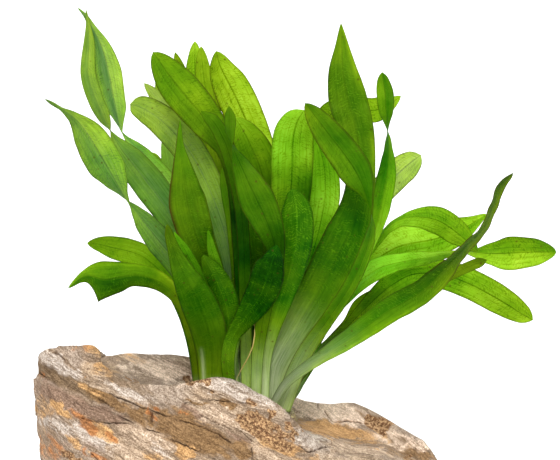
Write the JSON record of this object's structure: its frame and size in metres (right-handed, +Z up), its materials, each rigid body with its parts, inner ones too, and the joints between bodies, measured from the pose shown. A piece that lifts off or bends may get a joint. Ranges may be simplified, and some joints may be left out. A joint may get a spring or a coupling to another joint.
{
  "type": "aquarium plant on a stone",
  "caption": "Aquarium plant with long strap-shaped leaves, some twisted and arching, growing from a pale crown in the hollow of a petrified-wood stone.",
  "frame": {"origin": "on the stone's flat underside, below the plant's crown", "axes": "+Z up out of the stone; the stone runs along X, its high end at -X; the front, with the stone's long ridge, faces -Y"},
  "size_m": [0.258, 0.1544, 0.2556],
  "materials": {
    "stone": "rough petrified-wood stone, beige and grey beds with orange-brown stains",
    "crown": "pale, slightly moist rootstock",
    "stalk": "dry brown stalk",
    "leaf_shade": "deep green leaf with a soft gloss",
    "leaf_deep": "green leaf with a soft gloss",
    "leaf_mid": "middle green leaf with a soft gloss",
    "leaf_olive": "olive green leaf with a soft gloss",
    "leaf_bright": "bright green translucent leaf",
    "leaf_pale": "pale yellow-green translucent leaf"
  },
  "bodies": {
    "root": {"stone": "stone", "crown": "crown", "old_stalk": "stalk", "leaf_sweeping_right": "leaf_deep", "leaf_spoon_front": "leaf_shade", "leaf_front_left": "leaf_deep", "leaf_bright_sliver": "leaf_bright", "leaf_front_veined": "leaf_shade", "leaf_thin_sliver": "leaf_bright", "leaf_drooping_left": "leaf_deep", "leaf_brown_edged": "leaf_deep", "leaf_twisted_front": "leaf_mid", "leaf_front_middle": "leaf_shade", "leaf_folded_over": "leaf_olive", "leaf_tall_right": "leaf_deep", "leaf_far_left_twisted": "leaf_bright", "leaf_short_dark": "leaf_olive", "leaf_upper_left_broad": "leaf_olive", "leaf_dark_strap": "leaf_shade", "leaf_upper_left_low": "leaf_olive", "leaf_left_tall_front": "leaf_mid", "leaf_left_tall_back": "leaf_bright", "leaf_bluish_left": "leaf_mid", "leaf_middle_bright": "leaf_bright", "leaf_middle_right": "leaf_bright", "leaf_dark_middle": "leaf_shade", "leaf_upper_middle_dark": "leaf_olive", "leaf_thin_twisted_right": "leaf_mid", "leaf_small_olive_right": "leaf_olive", "leaf_arched_right": "leaf_bright", "leaf_long_right": "leaf_bright", "leaf_right_behind": "leaf_pale", "leaf_lower_right": "leaf_pale", "leaf_small_dark_right": "leaf_olive", "leaf_over_right": "leaf_pale", "leaf_pale_right_upper": "leaf_pale", "leaf_upper_middle_pale": "leaf_pale", "leaf_olive_left_small": "leaf_olive", "leaf_lower_left": "leaf_mid", "leaf_pale_tip_left": "leaf_pale", "leaf_pale_gap": "leaf_pale", "leaf_back_grey": "leaf_mid", "leaf_back_pale": "leaf_pale", "leaf_pale_vertical": "leaf_pale", "leaf_back_tip": "leaf_pale", "leaf_rear_middle": "leaf_bright", "leaf_rear_right": "leaf_mid", "leaf_rear_far_right": "leaf_deep", "leaf_rear_left": "leaf_mid", "leaf_rear_low_left": "leaf_mid", "leaf_rear_low": "leaf_deep"}
  },
  "joints": []
}
